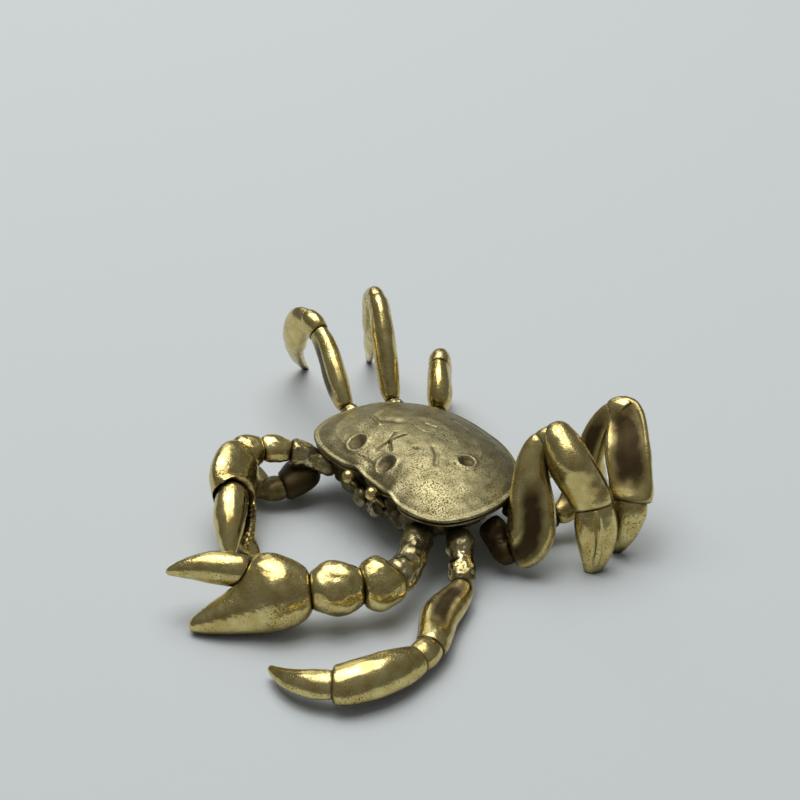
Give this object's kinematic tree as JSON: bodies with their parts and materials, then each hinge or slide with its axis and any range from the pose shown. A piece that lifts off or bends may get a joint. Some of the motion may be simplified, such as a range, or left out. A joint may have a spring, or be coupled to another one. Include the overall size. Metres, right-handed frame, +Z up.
{
  "type": "crab figurine",
  "caption": "Cast brass crab ornament mid-stride, with a domed pitted back, raised jointed legs and two claws swung in front; stands on its toes.",
  "frame": {"origin": "on the table, under the middle of the whole crab's bounding box", "axes": "+Z up from the table, the crab faces -Y, and its left side is +X"},
  "size_m": [0.0686, 0.0618, 0.0186],
  "materials": {
    "back_brass": "antiqued, fine pitted",
    "body_brass": "antiqued, rough cast",
    "claw_brass": "antiqued, polished",
    "leg_brass": "antiqued, polished"
  },
  "bodies": {
    "root": {"abdomen_flap": "body_brass", "carapace": "back_brass", "eye_left": "body_brass", "eye_right": "body_brass", "left_claw_arm": "claw_brass", "left_claw_finger": "claw_brass", "left_claw_palm": "claw_brass", "left_claw_shoulder": "claw_brass", "left_claw_wrist": "claw_brass", "left_leg_1_hip": "leg_brass", "left_leg_1_knee": "leg_brass", "left_leg_1_shin": "leg_brass", "left_leg_1_thigh": "leg_brass", "left_leg_1_toe": "leg_brass", "left_leg_2_hip": "leg_brass", "left_leg_2_knee": "leg_brass", "left_leg_2_shin": "leg_brass", "left_leg_2_thigh": "leg_brass", "left_leg_2_toe": "leg_brass", "left_leg_3_hip": "leg_brass", "left_leg_3_knee": "leg_brass", "left_leg_3_shin": "leg_brass", "left_leg_3_thigh": "leg_brass", "left_leg_3_toe": "leg_brass", "left_leg_4_hip": "leg_brass", "left_leg_4_knee": "leg_brass", "left_leg_4_shin": "leg_brass", "left_leg_4_thigh": "leg_brass", "left_leg_4_toe": "leg_brass", "mouthpart_left": "body_brass", "mouthpart_right": "body_brass", "right_claw_arm": "claw_brass", "right_claw_finger": "claw_brass", "right_claw_palm": "claw_brass", "right_claw_shoulder": "claw_brass", "right_claw_wrist": "claw_brass", "right_leg_1_hip": "leg_brass", "right_leg_1_knee": "leg_brass", "right_leg_1_shin": "leg_brass", "right_leg_1_thigh": "leg_brass", "right_leg_1_toe": "leg_brass", "right_leg_2_hip": "leg_brass", "right_leg_2_knee": "leg_brass", "right_leg_2_shin": "leg_brass", "right_leg_2_thigh": "leg_brass", "right_leg_2_toe": "leg_brass", "right_leg_3_hip": "leg_brass", "right_leg_3_knee": "leg_brass", "right_leg_3_shin": "leg_brass", "right_leg_3_thigh": "leg_brass", "right_leg_3_toe": "leg_brass", "right_leg_4_hip": "leg_brass", "right_leg_4_knee": "leg_brass", "right_leg_4_shin": "leg_brass", "right_leg_4_thigh": "leg_brass", "right_leg_4_toe": "leg_brass", "thorax": "body_brass"}
  },
  "joints": []
}
